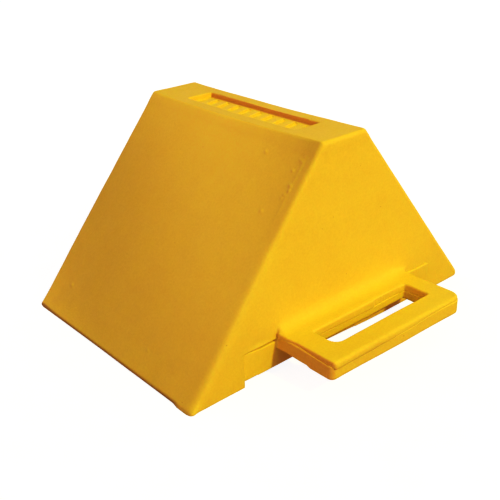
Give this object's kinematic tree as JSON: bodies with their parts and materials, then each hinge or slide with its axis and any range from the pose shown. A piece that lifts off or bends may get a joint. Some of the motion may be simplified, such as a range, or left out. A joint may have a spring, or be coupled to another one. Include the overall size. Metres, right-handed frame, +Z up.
{
  "type": "wheel chock",
  "caption": "Wedge-shaped wheel chock with two sloping tyre faces, a dished top with a long recess, raised toe and heel feet and a loop handle on one side.",
  "frame": {"origin": "middle of the whole object's bounding box, on the ground plane", "axes": "+Z up, X along the rolling direction with the toe towards -X, the handle points to -Y"},
  "size_m": [0.2988, 0.268, 0.1609],
  "materials": {
    "cast_polyurethane": "satin, warm yellow cast polyurethane with a light orange-peel skin",
    "rigid_foam": "matt, pale rigid foam with fine open cells",
    "bright_steel": "bright drawn bar",
    "plated_steel": "zinc plated",
    "brass": "turned"
  },
  "bodies": {
    "root": {"body": "cast_polyurethane", "base_moulding": "cast_polyurethane", "foam_core": "rigid_foam", "handle_rod": "bright_steel", "anchor_plate": "plated_steel", "rod_washers": "plated_steel", "rod_nuts": "plated_steel", "threaded_inserts": "brass", "cup_washers": "plated_steel", "base_screws": "plated_steel"}
  },
  "joints": []
}
